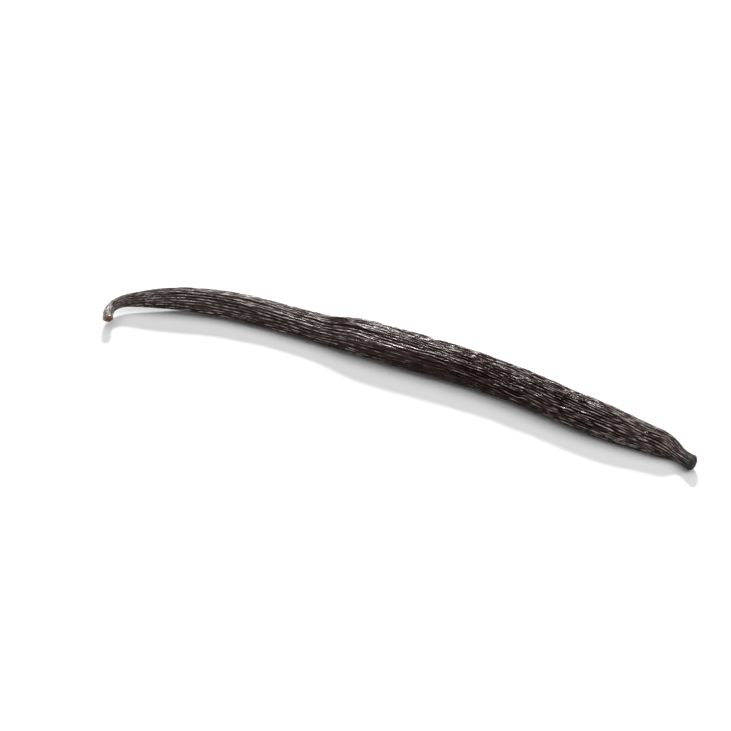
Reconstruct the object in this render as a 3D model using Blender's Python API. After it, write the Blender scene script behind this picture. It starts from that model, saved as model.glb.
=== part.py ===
"""A cured vanilla pod, lying on the side that its own weight has flattened, as one closed solid.

The pod is a long soft tube whose section changes all the way along a bent spine: a thin hooked stem
with a cut face, a neck that widens into the plump three-sided body, and a tapered tip that ends in
the round scar where the flower fell off. Its skin has dried in lengthwise folds.

The solid starts as a sphere primitive. Each of its rings becomes one section of the pod, so that the
two poles end up in the middle of the two end faces. Metres, +Z up, +X along the pod towards the scar.
The origin is below the middle of the pod, on the surface that it lies on.
"""

import math

import bmesh
import bpy
import numpy as np

MM = 0.001

# The spine, seen from above: it starts at the cut stem, and each bend is (from, to, turn in degrees).
LENGTH = 156.4 * MM
START_HEADING = 120.5
BENDS = (
    (0.5 * MM, 12 * MM, -95.5),  # the stem's hook
    (12 * MM, 52 * MM, -25.0),  # the shoulder, into the straight of the body
    (88 * MM, 118 * MM, -10.0),
    (120 * MM, 142 * MM, 6.5),
    (146.5 * MM, 153.5 * MM, -27.0),  # the tip, just before the scar
)
SPINE_STEPS = 1500

# The section: (distance along the spine, value) tables, joined by straight lines and then eased.
WIDTHS = (
    (0 * MM, 2.65 * MM),
    (3 * MM, 2.3 * MM),
    (7 * MM, 2.6 * MM),
    (13 * MM, 4.1 * MM),
    (20 * MM, 5.6 * MM),
    (38 * MM, 7.2 * MM),
    (59 * MM, 7.6 * MM),
    (68 * MM, 9.5 * MM),
    (76 * MM, 9.75 * MM),
    (119 * MM, 9.0 * MM),
    (131 * MM, 8.75 * MM),
    (139 * MM, 7.7 * MM),
    (143.5 * MM, 6.8 * MM),
    (147 * MM, 6.8 * MM),
    (151.4 * MM, 3.05 * MM),
    (152.8 * MM, 2.2 * MM),
    (154.2 * MM, 4.3 * MM),
    (156.4 * MM, 4.0 * MM),
)
FLATNESS = ((0 * MM, 0.96), (12 * MM, 0.94), (50 * MM, 0.82), (146 * MM, 0.82), (152 * MM, 0.94))
LIFTS = ((0 * MM, 1.8 * MM), (14 * MM, 1.5 * MM), (42 * MM, 0.0), (148 * MM, 0.0), (156.4 * MM, 0.6 * MM))
EASE = 2.5 * MM
PRESSED = 0.08  # how much of its half height the pod loses where it lies on its underside

# The three soft edges of the section, and the way they turn round the pod along its length.
EDGE_COUNT = 3
EDGE_SIZE = 0.035
EDGE_START = 75.0
EDGE_TURN = -50.0

# Lengthwise folds: (folds around, depth as a share of the radius, phase, sway, sway's length).
FOLDS = (
    (7, 0.022, 0.4, 0.9, 61 * MM),
    (10, 0.020, 2.1, 1.3, 47 * MM),
    (13, 0.018, 5.0, 1.6, 34 * MM),
)
FOLD_START, FOLD_FULL = 4 * MM, 24 * MM
UNDERSIDE_SPREAD = 0.9  # radians either side of straight down where the weight irons the folds out

# The end faces: a rounded rim, then a shallow dish. Neither is square to the pod: the top of the stem's
# face reaches further out, and so does the right side of the scar.
STEM_RIM, STEM_DISH = 0.35 * MM, 0.25 * MM
SCAR_RIM, SCAR_DISH = 1.75 * MM, 0.05 * MM
STEM_LEAN, STEM_LEAN_END = math.radians(22), 3 * MM
SCAR_LEAN, SCAR_LEAN_START = math.radians(20), 150 * MM
RIM_RINGS = 5
FACE_RINGS = 2

AROUND = 56
BODY_STEP = 2.15 * MM
BEND_STEP = 1.2 * MM  # closer rings round the hook and the tip
HOOK_END, TIP_START = 13 * MM, 145 * MM

SKIN_COLOUR = (0.04, 0.024, 0.019, 1.0)
SKIN_ROUGHNESS = 0.42
SHARP_ANGLE = math.radians(50)


def eased(table, along):
    """The table's value at each distance, averaged over EASE either side so that no corner shows."""
    distances, values = zip(*table)
    shifts = np.linspace(-EASE, EASE, 11)
    return np.mean([np.interp(along + shift, distances, values) for shift in shifts], axis=0)


def smoothstep(low, high, x):
    t = np.clip((x - low) / (high - low), 0, 1)
    return t * t * (3 - 2 * t)


def spine(along):
    """Place and heading of the spine at each distance along it, from the bends."""
    steps = np.linspace(0, LENGTH, SPINE_STEPS + 1)
    turns = sum(turn * smoothstep(start, end, steps) for start, end, turn in BENDS)
    heading = np.radians(START_HEADING + turns)
    step = LENGTH / SPINE_STEPS
    x = np.concatenate([[0], np.cumsum(np.cos((heading[1:] + heading[:-1]) / 2)) * step])
    y = np.concatenate([[0], np.cumsum(np.sin((heading[1:] + heading[:-1]) / 2)) * step])
    return np.interp(along, steps, x), np.interp(along, steps, y), np.interp(along, steps, heading)


def skin(along, around):
    """The section's radius as a share of the plain oval: three soft edges, and the folds."""
    edge = np.radians(EDGE_START + EDGE_TURN * along / LENGTH)
    size = EDGE_SIZE * np.cos(EDGE_COUNT * (around - edge))
    for count, depth, phase, sway, length in FOLDS:
        wander = sway * np.sin(2 * np.pi * along / length + phase)
        size = size + depth * np.cos(count * around + phase + wander)
    from_below = np.abs((around + np.pi / 2 + np.pi) % (2 * np.pi) - np.pi)
    ironed = smoothstep(0.3 * UNDERSIDE_SPREAD, UNDERSIDE_SPREAD, from_below)
    return 1 + size * ironed * smoothstep(FOLD_START, FOLD_FULL, along)


def surface(along, inset, around):
    """Points of the section at a distance along the spine, at a share inset of the way out from the spine
    to the skin, and at an angle around it: 0 is the pod's left side and a right angle its top."""
    x, y, heading = spine(along)
    half_width = eased(WIDTHS, along) / 2
    half_height = half_width * eased(FLATNESS, along)
    radius = inset * skin(along, around)
    sideways = half_width * radius * np.cos(around)
    upwards = half_height * radius * np.sin(around)
    forwards = -upwards * math.tan(STEM_LEAN) * smoothstep(STEM_LEAN_END, 0, along)
    forwards -= sideways * math.tan(SCAR_LEAN) * smoothstep(SCAR_LEAN_START, LENGTH, along)
    x = x + forwards * np.cos(heading) - sideways * np.sin(heading)
    y = y + forwards * np.sin(heading) + sideways * np.cos(heading)
    z = eased(LIFTS, along) + half_height * (1 - PRESSED) + upwards
    return np.stack((x, y, np.maximum(z, 0)), axis=-1)


def end_face(radius, rim, dish):
    """Rings of an end face from its middle out: (depth below the face, share of the radius)."""
    flat = 1 - rim / radius
    rings = [(dish * (1 - (n / FACE_RINGS) ** 2), flat * n / FACE_RINGS) for n in range(FACE_RINGS + 1)]
    for n in range(1, RIM_RINGS + 1):
        turn = math.radians(90 * n / RIM_RINGS)
        rings.append((rim * (1 - math.cos(turn)), 1 - rim / radius * (1 - math.sin(turn))))
    return rings


def ring_table():
    """Distance along the spine and share of the radius, for every ring from the stem's face to the scar."""
    rings = end_face(WIDTHS[0][1] / 2, STEM_RIM, STEM_DISH)
    stops = (STEM_RIM, HOOK_END, TIP_START, LENGTH - SCAR_RIM)
    for start, end, step in zip(stops, stops[1:], (BEND_STEP, BODY_STEP, BEND_STEP)):
        count = round((end - start) / step)
        rings += [(start + (end - start) * n / count, 1.0) for n in range(1, count + 1)]
    scar = end_face(WIDTHS[-1][1] / 2, SCAR_RIM, SCAR_DISH)
    rings += [(LENGTH - depth, share) for depth, share in scar[-2::-1]]
    return np.array(rings)


def skin_material():
    material = bpy.data.materials.new("pod_skin")
    material.use_nodes = True
    shader = material.node_tree.nodes["Principled BSDF"]
    shader.inputs["Base Color"].default_value = SKIN_COLOUR
    shader.inputs["Roughness"].default_value = SKIN_ROUGHNESS
    shader.inputs["Metallic"].default_value = 0.0
    return material


def make_pod(collection):
    rings = ring_table()
    mesh = bpy.data.meshes.new("pod")
    bm = bmesh.new()
    bmesh.ops.create_uvsphere(bm, u_segments=AROUND, v_segments=len(rings) - 1, radius=1)
    bm.to_mesh(mesh)
    bm.free()
    sphere = np.empty(len(mesh.vertices) * 3)
    mesh.vertices.foreach_get("co", sphere)
    x, y, z = sphere.reshape(-1, 3).T
    ring = np.rint(np.arccos(np.clip(-z, -1, 1)) / np.pi * (len(rings) - 1)).astype(int)
    points = surface(rings[ring, 0], rings[ring, 1], np.arctan2(y, x))
    low, high = points.min(axis=0), points.max(axis=0)
    points -= ((low[0] + high[0]) / 2, (low[1] + high[1]) / 2, low[2])
    mesh.vertices.foreach_set("co", points.ravel())
    mesh.update()
    mesh.materials.append(skin_material())
    mesh.shade_smooth()
    mesh.set_sharp_from_angle(angle=SHARP_ANGLE)
    pod = bpy.data.objects.new("pod", mesh)
    collection.objects.link(pod)
    return pod


def main():
    for old in list(bpy.data.objects):
        bpy.data.objects.remove(old)
    collection = bpy.data.collections.new("vanilla_pod")
    bpy.context.scene.collection.children.link(collection)
    make_pod(collection)


main()
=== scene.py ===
"""The looks of the cured vanilla pod: a skin dried into fine lengthwise pleats, its cut stem and its scar.

The pod's form repeats the named sizes of the solid. Here its skin is finer, and it carries the pleats as
real relief. Metres, +Z up, +X along the pod from the stem to the scar.
"""

import math

import bmesh
import bpy
import numpy as np
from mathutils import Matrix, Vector


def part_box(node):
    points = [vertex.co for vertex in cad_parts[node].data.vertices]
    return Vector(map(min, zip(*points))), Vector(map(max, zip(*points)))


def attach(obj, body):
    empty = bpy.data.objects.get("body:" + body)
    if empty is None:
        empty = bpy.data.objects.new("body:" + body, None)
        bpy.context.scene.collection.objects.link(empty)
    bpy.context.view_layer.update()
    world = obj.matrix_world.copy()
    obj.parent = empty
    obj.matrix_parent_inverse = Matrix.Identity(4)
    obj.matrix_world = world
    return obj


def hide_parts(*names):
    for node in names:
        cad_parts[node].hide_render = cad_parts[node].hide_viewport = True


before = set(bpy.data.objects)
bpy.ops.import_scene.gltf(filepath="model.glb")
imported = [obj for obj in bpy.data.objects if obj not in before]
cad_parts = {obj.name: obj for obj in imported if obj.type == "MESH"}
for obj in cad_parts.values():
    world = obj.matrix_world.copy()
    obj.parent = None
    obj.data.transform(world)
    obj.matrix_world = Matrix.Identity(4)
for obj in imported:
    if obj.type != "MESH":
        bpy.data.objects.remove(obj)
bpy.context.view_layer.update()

MM = 0.001

# The form of the solid: its spine, its section's sizes, its soft edges and its broad folds. A bend is
# (from, to, turn in degrees), and a table is (distance along the spine, value). The edges' start and turn
# are in degrees. A fold is (folds around, depth as a share of the radius, phase, sway, sway's length).
LENGTH = 156.4 * MM
START_HEADING = 120.5
BENDS = (
    (0.5 * MM, 12 * MM, -95.5),
    (12 * MM, 52 * MM, -25.0),
    (88 * MM, 118 * MM, -10.0),
    (120 * MM, 142 * MM, 6.5),
    (146.5 * MM, 153.5 * MM, -27.0),
)
SPINE_STEPS = 1500
WIDTHS = (
    (0 * MM, 2.65 * MM),
    (3 * MM, 2.3 * MM),
    (7 * MM, 2.6 * MM),
    (13 * MM, 4.1 * MM),
    (20 * MM, 5.6 * MM),
    (38 * MM, 7.2 * MM),
    (59 * MM, 7.6 * MM),
    (68 * MM, 9.5 * MM),
    (76 * MM, 9.75 * MM),
    (119 * MM, 9.0 * MM),
    (131 * MM, 8.75 * MM),
    (139 * MM, 7.7 * MM),
    (143.5 * MM, 6.8 * MM),
    (147 * MM, 6.8 * MM),
    (151.4 * MM, 3.05 * MM),
    (152.8 * MM, 2.2 * MM),
    (154.2 * MM, 4.3 * MM),
    (156.4 * MM, 4.0 * MM),
)
FLATNESS = ((0 * MM, 0.96), (12 * MM, 0.94), (50 * MM, 0.82), (146 * MM, 0.82), (152 * MM, 0.94))
LIFTS = ((0 * MM, 1.8 * MM), (14 * MM, 1.5 * MM), (42 * MM, 0.0), (148 * MM, 0.0), (156.4 * MM, 0.6 * MM))
EASE = 2.5 * MM
PRESSED = 0.08
EDGE_COUNT, EDGE_SIZE, EDGE_START, EDGE_TURN = 3, 0.035, 75.0, -50.0
FOLDS = (
    (7, 0.022, 0.4, 0.9, 61 * MM),
    (10, 0.020, 2.1, 1.3, 47 * MM),
    (13, 0.018, 5.0, 1.6, 34 * MM),
)
FOLD_START, FOLD_FULL = 4 * MM, 24 * MM
UNDERSIDE_SPREAD = 0.9
STEM_RIM, STEM_DISH = 0.35 * MM, 0.25 * MM
SCAR_RIM, SCAR_DISH = 1.75 * MM, 0.05 * MM
STEM_LEAN, STEM_LEAN_END = math.radians(22), 3 * MM
SCAR_LEAN, SCAR_LEAN_START = math.radians(20), 150 * MM

# How finely the skin is made. Its columns crowd together by DENSER round one side of the section, the
# one between the top and the front.
AROUND = 288
DENSER, DENSEST = 0.35, math.radians(118)
BODY_STEP = 0.5 * MM
RIM_RINGS = 6
FACE_RINGS = 9

# The grid that the pleats are worked out on. It is longer than the pod, so that its ends don't repeat.
GRID_LENGTH = 192 * MM
GRID_STEPS = 1280
GRID_AROUND = 512

# Pleats, from the broad ones to the fine ones: (seed, pleats around, spread of that, how far one keeps its
# course, slant, depths, heights). The depths are shares of the radius at each of the places in CHANGES_AT.
# The heights, of those whose ridges carry painted highlights, say how strongly the ridges carry them
# there: none below the threshold set just under this table, and fully at 1. The fine pleats are the more
# broken ones.
CHANGES_AT = (60 * MM, 95 * MM, 116 * MM, 136 * MM)
PLEATS = (
    (31, 14, 2.5, 10 * MM, -8, (0.050, 0.030, 0.030, 0.050), None),
    (32, 32, 6.0, 3 * MM, -25, (0.125, 0.050, 0.050, 0.090), (1.05, 0.88, 0.92, 0.98)),
    (35, 40, 8.0, 1.2 * MM, -50, (0.030, 0.150, 0.150, 0.130), (0.87, 0.94, 1.0, 1.04)),
    (33, 50, 9.0, 1.2 * MM, -45, (0.085, 0.090, 0.090, 0.060), None),
)
GLINT_FROM = 0.87
WEAKEST = 0.3  # depth of a pleat where its wave dies out, as a share of what it has at FULL_STRENGTH
FULL_STRENGTH = 1.3

# How deep the pleats are from place to place, as a share: slow noise, kept inside limits.
CALMER_WAVES = (41, 2, 1.5, 9 * MM, 0)
CALMER_MIDDLE, CALMER_SWING = 0.8, 0.3
CALMER_LIMITS = (0.45, 1.2)

# Short pleats that cross the others near the stem, with their depth, in patches: (middle, half length,
# angle from the top, strength).
CROSS_PLEATS = (14, 14, 4.0, 1.6 * MM, 700, 0.080)
CROSS_PATCHES = ((16 * MM, 5 * MM, 0.6, 1.5), (7 * MM, 6 * MM, -0.6, 1.5))
PATCH_SPREAD = 0.8

NARROWING = 0.5  # how far the pleats thin out, rather than crowd together, where the pod is thinner
RAISED = 0.03  # how far the highest crests stand out of the solid's form, so that the middle height is on it
# Painted shade: a valley's colour darkens with its depth, to its darkest at this depth.
DEEP = 0.12  # the depth at which a valley is as dark as it gets
PRESSED_CREST, PRESSED_RIDGES = 0.6, 0.75  # what the smooth underside keeps of the crests and the ridges

# Where the looks change: a brown core off the middle of the cut face, the scar's edge, and a pale painted
# sheen, which lies on top of the pod towards the stem and a little at the tip.
CORE_MIDDLE, CORE_EDGE = (-0.2, 0.1), (0.55, 0.85)
SCAR_EDGE = (LENGTH - 3.5 * MM, LENGTH - 2.9 * MM)
STEM_SHEEN, STEM_SHEEN_END = 0.7, (40 * MM, 85 * MM)
TIP_SHEEN, TIP_SHEEN_START = 0.12, (125 * MM, 145 * MM)
SHEEN_SIDES = (-0.3, 0.8)  # from no painted sheen to all of it, as the sine of the angle around

# Grains of the skin: (sizes along, across and up, detail, roughness).
GRAINS = {
    "blotches": ((9 * MM, 2.6 * MM, 2.6 * MM), 3.0, 0.55),
    "fibres": ((2.6 * MM, 0.34 * MM, 0.34 * MM), 1.0, 0.5),
    "dashes": ((2.2 * MM, 0.55 * MM, 0.55 * MM), 2.0, 0.5),
    "mottle": ((1.5 * MM, 0.9 * MM, 0.9 * MM), 2.0, 0.55),
    "knots": ((0.9 * MM, 0.45 * MM, 0.45 * MM), 2.0, 0.5),
    "specks": ((0.7 * MM, 0.22 * MM, 0.22 * MM), 1.0, 0.6),
    "grain": ((0.35 * MM, 0.12 * MM, 0.12 * MM), 2.0, 0.6),
}

# Bumps that the grains make, one on another: (grain, strength, height).
BUMPS = (("grain", 0.6, 0.03 * MM), ("knots", 0.8, 0.05 * MM), ("fibres", 0.9, 0.06 * MM))

# Colours, as linear RGB.
# The skin's dark brown, used also as painted shade that darkens the valleys.
DARK_BROWN_AND_VALLEY_SHADE = (0.0066, 0.0012, 0.0010, 1)
CREST = (0.024, 0.0074, 0.0052, 1)
# Painted highlights: pale dashes on the ridges' tops that stand in for glints.
PAINTED_GLINT = (0.34, 0.30, 0.285, 1)
# Painted sheen: a pale colour on the top of the pod.
PAINTED_SHEEN = (0.120, 0.100, 0.094, 1)
RUSSET = (0.034, 0.0120, 0.0080, 1)
# The stem's grey, partly its own patches and partly a painted highlight on the hook's outer side.
STEM_GREY_AND_HIGHLIGHT = (0.240, 0.212, 0.195, 1)
TAN = (0.190, 0.140, 0.095, 1)
CUT = (0.110, 0.034, 0.020, 1)
SCAR = (0.012, 0.011, 0.010, 1)
# The scar's pale grey, its own colour, which towards its top is a painted highlight.
SCAR_GREY_AND_HIGHLIGHT = (0.070, 0.066, 0.060, 1)
PAPER = (0.86, 0.86, 0.86, 1)

SKIN_SPECULAR = 0.21
SKIN_TINT = (1.0, 0.89, 0.83, 1)
GLOSS, SATIN, DULL = 0.17, 0.45, 0.5  # roughness of the ridges, of the valleys and of the tip
PAPER_ROUGHNESS, PAPER_SPECULAR = 0.9, 0.1

# Where each of the skin's looks shows: (what it goes by, from, to, how much at each of them). It goes by
# one of the stored values, by a grain, or by the place on the pod laid out straight: along it, to its left
# side and up. The last two masks give the roughness.
MASKS = {
    # The ridges' brown, turning to the dark brown in the valleys as painted shade.
    "crests": ("ridge", 0.35, 0.85, 0.0, 1.0),
    # Painted shade: the deeper the valley, the darker.
    "painted valley shade": ("crest", 0.0, 0.6, 0.8, 0.0),
    "rust": ("blotches", 0.52, 0.70, 0.0, 0.55),
    "streaks": ("fibres", 0.45, 0.62, 0.0, 0.45),
    # Painted sheen on the ridges on the top of the pod.
    "ridges' painted sheen": ("ridge", 0.65, 0.95, 0.0, 1.0),
    "dark specks": ("specks", 0.44, 0.60, 0.0, 0.7),
    # Painted highlights on the ridges' tops, broken into dashes.
    "painted glint ridges": ("ridge", GLINT_FROM, 1.0, 0.0, 1.0),
    "painted glint dashes": ("dashes", 0.41, 0.65, 0.0, 1.0),
    "grey stem": ("along", 4 * MM, 15 * MM, 0.9, 0.0),
    "grey patches": ("mottle", 0.50, 0.60, 0.0, 1.0),
    # Painted highlight: the stem's grey strongest on the outer side of the hook.
    "outer side's painted highlight": ("side", -0.9 * MM, 0.7 * MM, 0.35, 1.0),
    "tan end": ("along", 0.3 * MM, 1.8 * MM, 0.75, 0.0),
    # Painted highlight: the scar paler towards its top.
    "scar's painted highlight": ("height", 0.2 * MM, 1.9 * MM, 0.1, 0.8),
    "scar's spots": ("knots", 0.40, 0.60, 0.6, 0.0),
    "glossy ridges": ("ridge", 0.4, 0.85, SATIN, GLOSS),
    "dull tip": ("along", 145 * MM, 150 * MM, GLOSS, DULL),
}

# The studio: (name, azimuth from the camera's, elevation, distance, width and height, watts). The key is
# small, behind the pod and about as low as the camera, for the glints along the ridges.
LIGHTS = (
    ("key", 179, 35, 1.5, (0.30, 0.22), 24.5),
    ("backdrop", 180, 14, 1.0, (1.8, 0.45), 2.5),
    ("overhead", 0, 88, 1.0, (1.2, 1.2), 4.5),
    ("left", -65, 45, 1.2, (1.0, 0.8), 2.0),
    ("right", 65, 45, 1.2, (1.0, 0.8), 7.0),
    ("front", -10, 42, 1.0, (1.6, 1.2), 1.3),
)
WORLD_STRENGTH = 0.07
FLOOR_HALF_SIZE = 3

CAMERA_AIM = Vector((-6.95, -2.80, 4.1)) * MM
CAMERA_AZIMUTH = 25.0
CAMERA_ELEVATION = 38.0
CAMERA_DISTANCE = 590 * MM
VIEW_WIDTH = 169.75 * MM


def eased(table, along):
    """The table's value at each distance, averaged over EASE either side so that no corner shows."""
    distances, values = zip(*table)
    shifts = np.linspace(-EASE, EASE, 11)
    return np.mean([np.interp(along + shift, distances, values) for shift in shifts], axis=0)


def smoothstep(low, high, x):
    t = np.clip((x - low) / (high - low), 0, 1)
    return t * t * (3 - 2 * t)


def spine(along):
    """Place and heading of the spine at each distance along it, from the bends."""
    steps = np.linspace(0, LENGTH, SPINE_STEPS + 1)
    turns = sum(turn * smoothstep(start, end, steps) for start, end, turn in BENDS)
    heading = np.radians(START_HEADING + turns)
    step = LENGTH / SPINE_STEPS
    x = np.concatenate([[0], np.cumsum(np.cos((heading[1:] + heading[:-1]) / 2)) * step])
    y = np.concatenate([[0], np.cumsum(np.sin((heading[1:] + heading[:-1]) / 2)) * step])
    return np.interp(along, steps, x), np.interp(along, steps, y), np.interp(along, steps, heading)


def ironed(around):
    """1 over most of the section, falling to 0 where the pod's weight presses its underside smooth."""
    from_below = np.abs((around + np.pi / 2 + np.pi) % (2 * np.pi) - np.pi)
    return smoothstep(0.3 * UNDERSIDE_SPREAD, UNDERSIDE_SPREAD, from_below)


def broad_form(along, around):
    """The section's radius as a share of the plain oval: three soft edges, and the broad folds."""
    edge = np.radians(EDGE_START + EDGE_TURN * along / LENGTH)
    size = EDGE_SIZE * np.cos(EDGE_COUNT * (around - edge))
    for count, depth, phase, sway, length in FOLDS:
        wander = sway * np.sin(2 * np.pi * along / length + phase)
        size = size + depth * np.cos(count * around + phase + wander)
    return 1 + size * ironed(around) * smoothstep(FOLD_START, FOLD_FULL, along)


def band_noise(seed, waves, spread, reach, slant):
    """Complex noise on the (along, around) grid with about so many waves in a turn. Its angle is the waves'
    phase, and its size is their strength, so waves split and merge where it is weak. reach is how far a
    wave keeps its course, and slant leans the waves, in waves to a metre."""
    random = np.random.default_rng(seed)
    noise = random.normal(size=(2, GRID_STEPS, GRID_AROUND))
    noise = noise[0] + 1j * noise[1]
    waves_around = np.fft.fftfreq(GRID_AROUND, 1 / GRID_AROUND)
    waves_along = np.fft.fftfreq(GRID_STEPS, GRID_LENGTH / GRID_STEPS)
    keep_around = np.exp(-0.5 * ((waves_around - waves) / spread) ** 2)
    keep_along = np.exp(-0.5 * (2 * np.pi * reach * (waves_along - slant)) ** 2)
    field = np.fft.ifft2(noise * keep_along[:, None] * keep_around)
    return field / np.sqrt(np.mean(np.abs(field) ** 2))


def wave_height(field):
    """How high each place is on its wave: 1 on a ridge, and 0 in a valley."""
    return np.abs(np.cos(np.angle(field) / 2))


def pleats(field):
    """Rounded ridges with sharp valleys between them: 0 on a ridge, and down to -1 in the deepest valley."""
    strength = WEAKEST + (1 - WEAKEST) * np.minimum(np.abs(field), FULL_STRENGTH) / FULL_STRENGTH
    return strength * (wave_height(field) - 1)


def relief_grids():
    """Two (along, around) grids: the fine relief, as a share of the radius and all of it inwards, and the
    height on the ridges that carry the painted highlights."""
    along = np.arange(GRID_STEPS)[:, None] * GRID_LENGTH / GRID_STEPS
    around = np.arange(GRID_AROUND) * 2 * np.pi / GRID_AROUND
    relief, ridges = 0, 0
    for *waves, depths, heights in PLEATS:
        field = band_noise(*waves)
        relief = relief + np.interp(along, CHANGES_AT, depths) * pleats(field)
        if heights:
            ridges = np.maximum(ridges, np.interp(along, CHANGES_AT, heights) * wave_height(field))
    calmer = CALMER_MIDDLE + CALMER_SWING * np.real(band_noise(*CALMER_WAVES))
    relief = relief * np.clip(calmer, *CALMER_LIMITS)
    *waves, depth = CROSS_PLEATS
    field = band_noise(*waves)
    for middle, half_length, angle, strength in CROSS_PATCHES:
        off = (around - angle + np.pi) % (2 * np.pi) - np.pi
        patch = strength * np.exp(-(((along - middle) / half_length) ** 2) - (off / PATCH_SPREAD) ** 2)
        patch = np.minimum(patch, 1)
        relief = relief + patch * depth * pleats(field)
        ridges = np.maximum(ridges, patch * wave_height(field))
    return relief, ridges


def between(grid, along, around):
    """The grid's values at any places, from the four grid points round each."""
    row = along / GRID_LENGTH * GRID_STEPS
    column = around / (2 * np.pi) * GRID_AROUND
    top, left = np.floor(row).astype(int), np.floor(column).astype(int)
    down, right = row - top, column - left
    near, far = left % GRID_AROUND, (left + 1) % GRID_AROUND
    upper = grid[top, near] * (1 - right) + grid[top, far] * right
    lower = grid[top + 1, near] * (1 - right) + grid[top + 1, far] * right
    return upper * (1 - down) + lower * down


def surface(along, inset, around, relief):
    """Points of the section at a distance along the spine, at a share inset of the way out from the spine
    to the skin, and at an angle around it: 0 is the pod's left side and a right angle its top. With them
    come the same points on the pod laid out straight."""
    x, y, heading = spine(along)
    half_width = eased(WIDTHS, along) / 2
    half_height = half_width * eased(FLATNESS, along)
    radius = inset * broad_form(along, around) * (1 + relief)
    sideways = half_width * radius * np.cos(around)
    upwards = half_height * radius * np.sin(around)
    forwards = -upwards * math.tan(STEM_LEAN) * smoothstep(STEM_LEAN_END, 0, along)
    forwards -= sideways * math.tan(SCAR_LEAN) * smoothstep(SCAR_LEAN_START, LENGTH, along)
    x = x + forwards * np.cos(heading) - sideways * np.sin(heading)
    y = y + forwards * np.sin(heading) + sideways * np.cos(heading)
    z = eased(LIFTS, along) + half_height * (1 - PRESSED) + upwards
    points = np.stack((x, y, np.maximum(z, 0)), axis=-1)
    return points, np.stack((along, sideways, upwards), axis=-1)


def end_face(radius, rim, dish):
    """Rings of an end face from its middle out: (depth below the face, share of the radius)."""
    flat = 1 - rim / radius
    rings = [(dish * (1 - (n / FACE_RINGS) ** 2), flat * n / FACE_RINGS) for n in range(FACE_RINGS + 1)]
    for n in range(1, RIM_RINGS + 1):
        turn = math.radians(90 * n / RIM_RINGS)
        rings.append((rim * (1 - math.cos(turn)), 1 - rim / radius * (1 - math.sin(turn))))
    return rings


def ring_table():
    """Distance along the spine and share of the radius, for every ring from the stem's face to the scar."""
    rings = end_face(WIDTHS[0][1] / 2, STEM_RIM, STEM_DISH)
    start, end = STEM_RIM, LENGTH - SCAR_RIM
    count = round((end - start) / BODY_STEP)
    rings += [(start + (end - start) * n / count, 1.0) for n in range(1, count + 1)]
    scar = end_face(WIDTHS[-1][1] / 2, SCAR_RIM, SCAR_DISH)
    rings += [(LENGTH - depth, share) for depth, share in scar[-2::-1]]
    return np.array(rings)


def store(mesh, name, kind, values):
    """Keeps a value for each vertex, for the material to read."""
    attribute = mesh.attributes.new(name, kind, "POINT")
    key = "vector" if kind == "FLOAT_VECTOR" else "value"
    attribute.data.foreach_set(key, np.ascontiguousarray(values, np.float32).ravel())


def unroll(mesh, column, ring_place):
    """A UV map of the skin laid flat: u goes once round the pod, and v from one end face to the other."""
    corner = np.empty(len(mesh.loops), np.int32)
    mesh.loops.foreach_get("vertex_index", corner)
    sizes = np.empty(len(mesh.polygons), np.int32)
    mesh.polygons.foreach_get("loop_total", sizes)
    face = np.repeat(np.arange(len(sizes)), sizes)
    u = column[corner].astype(float)
    pole = (ring_place[corner] <= 0) | (ring_place[corner] >= 1)
    highest = np.full(len(sizes), -1.0)
    np.maximum.at(highest, face[~pole], u[~pole])
    u[(highest[face] == AROUND - 1) & (u == 0)] = AROUND
    total = np.zeros(len(sizes))
    np.add.at(total, face[~pole], u[~pole])
    others = np.bincount(face[~pole], minlength=len(sizes))
    u[pole] = (total / others)[face[pole]]
    flat = np.stack((u / AROUND, ring_place[corner]), axis=-1)
    layer = mesh.uv_layers.new(name="OFBake")
    layer.data.foreach_set("uv", flat.astype(np.float32).ravel())


def sphere(name, ring_count):
    """A sphere's mesh, with the ring and the column that each of its vertices is on."""
    mesh = bpy.data.meshes.new(name)
    bm = bmesh.new()
    bmesh.ops.create_uvsphere(bm, u_segments=AROUND, v_segments=ring_count - 1, radius=1)
    bm.to_mesh(mesh)
    bm.free()
    places = np.empty(len(mesh.vertices) * 3)
    mesh.vertices.foreach_get("co", places)
    x, y, z = places.reshape(-1, 3).T
    ring = np.rint(np.arccos(np.clip(-z, -1, 1)) / np.pi * (ring_count - 1)).astype(int)
    column = np.rint(np.arctan2(y, x) / (2 * np.pi) * AROUND).astype(int) % AROUND
    return mesh, ring, column


def fine_relief(along, around):
    """The pleats' relief and the height on their ridges, at any places on the skin."""
    thinness = eased(WIDTHS, along) / max(width for _, width in WIDTHS)
    from_top = (around + np.pi / 2) % (2 * np.pi) - np.pi
    relief, ridges = (between(grid, along, from_top * thinness ** NARROWING) for grid in relief_grids())
    free = ironed(around)
    return relief * free, ridges * (PRESSED_RIDGES + (1 - PRESSED_RIDGES) * free)


def onto_solid(points, plain):
    """The points moved to where the solid is, by the middle of the plain form, and kept in its box."""
    low_corner, high_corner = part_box("pod")
    middle = (plain.min(axis=0) + plain.max(axis=0)) / 2
    points[:, 0] += (low_corner.x + high_corner.x) / 2 - middle[0]
    points[:, 1] += (low_corner.y + high_corner.y) / 2 - middle[1]
    return np.clip(points, low_corner, high_corner)


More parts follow.
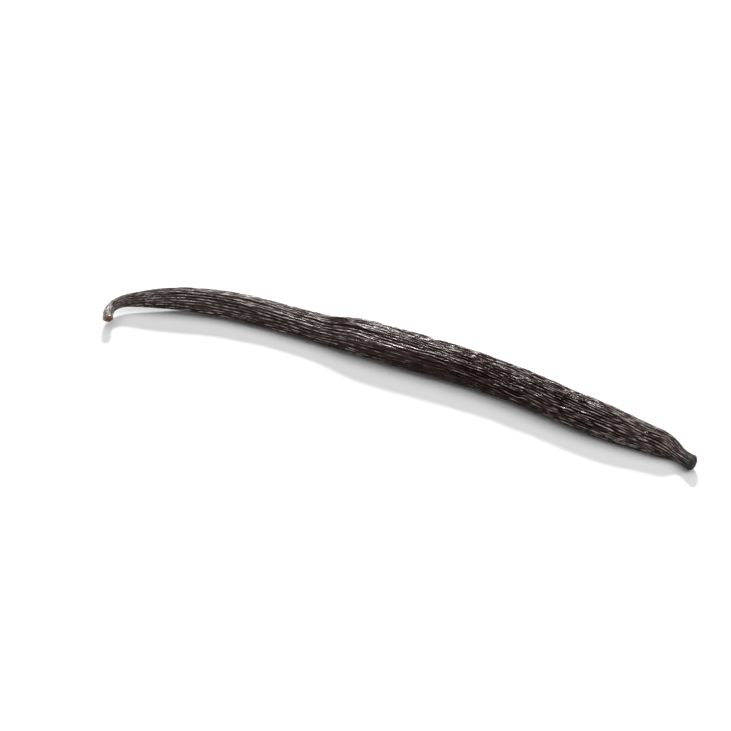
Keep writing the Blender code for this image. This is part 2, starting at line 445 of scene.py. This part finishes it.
def store_looks(mesh, along, inset, around, relief):
    """Keeps where the valleys are, for their painted shade, and the cut face's core, the scar and the
    painted sheen.
    """
    crest = PRESSED_CREST + (1 - PRESSED_CREST + relief / DEEP) * ironed(around)
    store(mesh, "crest", "FLOAT", crest)
    from_core = np.hypot(inset * np.cos(around) - CORE_MIDDLE[0], inset * np.sin(around) - CORE_MIDDLE[1])
    store(mesh, "cut", "FLOAT", (along < STEM_RIM) * (1 - smoothstep(*CORE_EDGE, from_core)))
    store(mesh, "scar", "FLOAT", smoothstep(*SCAR_EDGE, along))
    # Painted sheen: on the pod's top, strongest towards the stem and a little at the tip.
    painted_sheen = STEM_SHEEN * (1 - smoothstep(*STEM_SHEEN_END, along))
    painted_sheen = painted_sheen + TIP_SHEEN * smoothstep(*TIP_SHEEN_START, along)
    store(mesh, "painted_sheen", "FLOAT", painted_sheen * smoothstep(*SHEEN_SIDES, np.sin(around)))


def make_pod():
    rings = ring_table()
    mesh, ring, column = sphere("vanilla_pod", len(rings))
    along, inset = rings[ring].T
    turn = column * 2 * np.pi / AROUND
    around = turn - DENSER * np.sin(turn - DENSEST)
    relief, ridges = fine_relief(along, around)
    points, straight = surface(along, inset, around, relief + RAISED)
    plain, _ = surface(along, inset, around, 0)
    mesh.vertices.foreach_set("co", onto_solid(points, plain).ravel())
    store(mesh, "straight", "FLOAT_VECTOR", straight)
    store(mesh, "ridge", "FLOAT", ridges)
    store_looks(mesh, along, inset, around, relief)
    unroll(mesh, column, ring / (len(rings) - 1))
    mesh.shade_smooth()
    pod = bpy.data.objects.new("vanilla_pod", mesh)
    bpy.context.scene.collection.objects.link(pod)
    return pod


def add(tree, kind, inputs=(), **settings):
    """A node with its settings, and its inputs set to numbers or joined to other nodes' outputs."""
    made = tree.nodes.new(kind)
    for name, value in settings.items():
        setattr(made, name, value)
    for name, value in dict(inputs).items():
        if isinstance(value, bpy.types.NodeSocket):
            tree.links.new(value, made.inputs[name])
        else:
            made.inputs[name].default_value = value
    return made


def blended(tree, share, low, high):
    """A colour that goes from low to high as share goes from 0 to 1."""
    mix = add(tree, "ShaderNodeMix", data_type="RGBA")
    for socket, value in ((mix.inputs["Factor"], share), (mix.inputs[6], low), (mix.inputs[7], high)):
        if isinstance(value, bpy.types.NodeSocket):
            tree.links.new(value, socket)
        else:
            socket.default_value = value
    return mix.outputs[2]


def ranged(tree, value, low, high, to_low, to_high):
    """Goes smoothly from to_low to to_high as value goes from low to high."""
    inputs = {"Value": value, "From Min": low, "From Max": high, "To Min": to_low, "To Max": to_high}
    return add(tree, "ShaderNodeMapRange", inputs, interpolation_type="SMOOTHSTEP").outputs["Result"]


def combined(tree, operation, one, other):
    return add(tree, "ShaderNodeMath", {0: one, 1: other}, operation=operation).outputs["Value"]


def stored(tree, name, output="Fac"):
    return add(tree, "ShaderNodeAttribute", attribute_name=name).outputs[output]


def noise(tree, place, sizes, detail, roughness):
    """Noise with grains of these sizes along, across and up, in metres."""
    scale = tuple(1 / size for size in sizes)
    mapped = add(tree, "ShaderNodeMapping", {"Vector": place, "Scale": scale})
    inputs = {"Vector": mapped.outputs["Vector"], "Scale": 1.0, "Detail": detail, "Roughness": roughness}
    return add(tree, "ShaderNodeTexNoise", inputs).outputs["Fac"]


def skin_values(tree):
    """What the skin's looks go by: the place on the pod laid out straight, the stored values, the grains."""
    place = stored(tree, "straight", "Vector")
    parts = add(tree, "ShaderNodeSeparateXYZ", {"Vector": place}).outputs
    values = {"along": parts["X"], "side": parts["Y"], "height": parts["Z"]}
    for name in ("ridge", "crest", "painted_sheen", "cut", "scar"):
        values[name] = stored(tree, name)
    for name, settings in GRAINS.items():
        values[name] = noise(tree, place, *settings)
    return values


def skin_colour(tree, values, masks):
    # The ridges over valleys darkened with painted shade, with rusty blotches and dark streaks.
    colour = blended(tree, masks["crests"], DARK_BROWN_AND_VALLEY_SHADE, CREST)
    colour = blended(tree, masks["painted valley shade"], colour, DARK_BROWN_AND_VALLEY_SHADE)
    colour = blended(tree, masks["rust"], colour, RUSSET)
    colour = blended(tree, masks["streaks"], colour, DARK_BROWN_AND_VALLEY_SHADE)
    # A painted sheen on the ridges, dark specks over it all, and painted highlights on the ridges' tops, in
    # dashes.
    painted_sheen = combined(tree, "MULTIPLY", values["painted_sheen"], masks["ridges' painted sheen"])
    colour = blended(tree, painted_sheen, colour, PAINTED_SHEEN)
    colour = blended(tree, masks["dark specks"], colour, DARK_BROWN_AND_VALLEY_SHADE)
    painted_glints = combined(tree, "MULTIPLY", masks["painted glint ridges"], masks["painted glint dashes"])
    colour = blended(tree, painted_glints, colour, PAINTED_GLINT)
    # The stem's grey patches, most of them on the outer side of its hook as a painted highlight, its tan end
    # and its cut face.
    grey_and_highlight = combined(tree, "MULTIPLY", masks["grey stem"], masks["grey patches"])
    grey_and_highlight = combined(tree, "MULTIPLY", grey_and_highlight, masks["outer side's painted highlight"])
    colour = blended(tree, grey_and_highlight, colour, STEM_GREY_AND_HIGHLIGHT)
    colour = blended(tree, masks["tan end"], colour, TAN)
    colour = blended(tree, values["cut"], colour, CUT)
    # The scar's grey, paler towards its top as a painted highlight, with dark spots.
    scar = blended(tree, masks["scar's painted highlight"], SCAR, SCAR_GREY_AND_HIGHLIGHT)
    scar = blended(tree, masks["scar's spots"], scar, SCAR)
    return blended(tree, values["scar"], colour, scar)


def skin_material():
    material = bpy.data.materials.new("pod_skin")
    material.use_nodes = True
    tree = material.node_tree
    shader = tree.nodes["Principled BSDF"]
    values = skin_values(tree)
    masks = {name: ranged(tree, values[source], *ramp) for name, (source, *ramp) in MASKS.items()}
    tree.links.new(skin_colour(tree, values, masks), shader.inputs["Base Color"])
    roughness = combined(tree, "MAXIMUM", masks["glossy ridges"], masks["dull tip"])
    tree.links.new(roughness, shader.inputs["Roughness"])
    shader.inputs["Specular IOR Level"].default_value = SKIN_SPECULAR
    shader.inputs["Specular Tint"].default_value = SKIN_TINT

    bumped = {}
    for name, strength, height in BUMPS:
        inputs = {"Height": values[name], "Strength": strength, "Distance": height, **bumped}
        bumped = {"Normal": add(tree, "ShaderNodeBump", inputs).outputs["Normal"]}
    tree.links.new(bumped["Normal"], shader.inputs["Normal"])
    return material


def floor_material():
    material = bpy.data.materials.new("floor_paper")
    material.use_nodes = True
    shader = material.node_tree.nodes["Principled BSDF"]
    shader.inputs["Base Color"].default_value = PAPER
    shader.inputs["Roughness"].default_value = PAPER_ROUGHNESS
    shader.inputs["Specular IOR Level"].default_value = PAPER_SPECULAR
    return material


def make_floor():
    mesh = bpy.data.meshes.new("floor")
    bm = bmesh.new()
    bmesh.ops.create_grid(bm, x_segments=1, y_segments=1, size=FLOOR_HALF_SIZE)
    bm.to_mesh(mesh)
    bm.free()
    mesh.materials.append(floor_material())
    floor = bpy.data.objects.new("floor", mesh)
    bpy.context.scene.collection.objects.link(floor)


def direction(azimuth, elevation):
    """Unit vector towards the given azimuth, with 0 at -Y and 90 at +X, and elevation above the floor."""
    a, e = math.radians(azimuth), math.radians(elevation)
    return Vector((math.sin(a) * math.cos(e), -math.cos(a) * math.cos(e), math.sin(e)))


def add_light(name, azimuth, elevation, distance, size, power):
    light = bpy.data.lights.new(name, "AREA")
    light.shape = "RECTANGLE"
    light.size, light.size_y = size
    light.energy = power
    lamp = bpy.data.objects.new(name, light)
    towards = direction(azimuth, elevation)
    lamp.location = CAMERA_AIM + towards * distance
    lamp.rotation_euler = towards.to_track_quat("Z", "Y").to_euler()
    bpy.context.scene.collection.objects.link(lamp)


def make_stage():
    make_floor()
    for name, from_camera, elevation, distance, size, power in LIGHTS:
        add_light(name, CAMERA_AZIMUTH + from_camera, elevation, distance, size, power)
    world = bpy.data.worlds.new("studio")
    world.use_nodes = True
    background = world.node_tree.nodes["Background"]
    background.inputs["Color"].default_value = (1, 1, 1, 1)
    background.inputs["Strength"].default_value = WORLD_STRENGTH
    bpy.context.scene.world = world
    bpy.context.scene.view_settings.view_transform = "Standard"


def make_camera():
    data = bpy.data.cameras.new("camera")
    data.sensor_width = 36.0
    data.lens = data.sensor_width * CAMERA_DISTANCE / VIEW_WIDTH
    data.clip_start = 10 * MM
    camera = bpy.data.objects.new("camera", data)
    back = direction(CAMERA_AZIMUTH, CAMERA_ELEVATION)
    camera.location = CAMERA_AIM + back * CAMERA_DISTANCE
    camera.rotation_euler = (-back).to_track_quat("-Z", "Y").to_euler()
    bpy.context.scene.collection.objects.link(camera)
    bpy.context.scene.camera = camera


make_camera()
pod = make_pod()
pod.data.materials.append(skin_material())
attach(pod, "root")
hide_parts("pod")
make_stage()
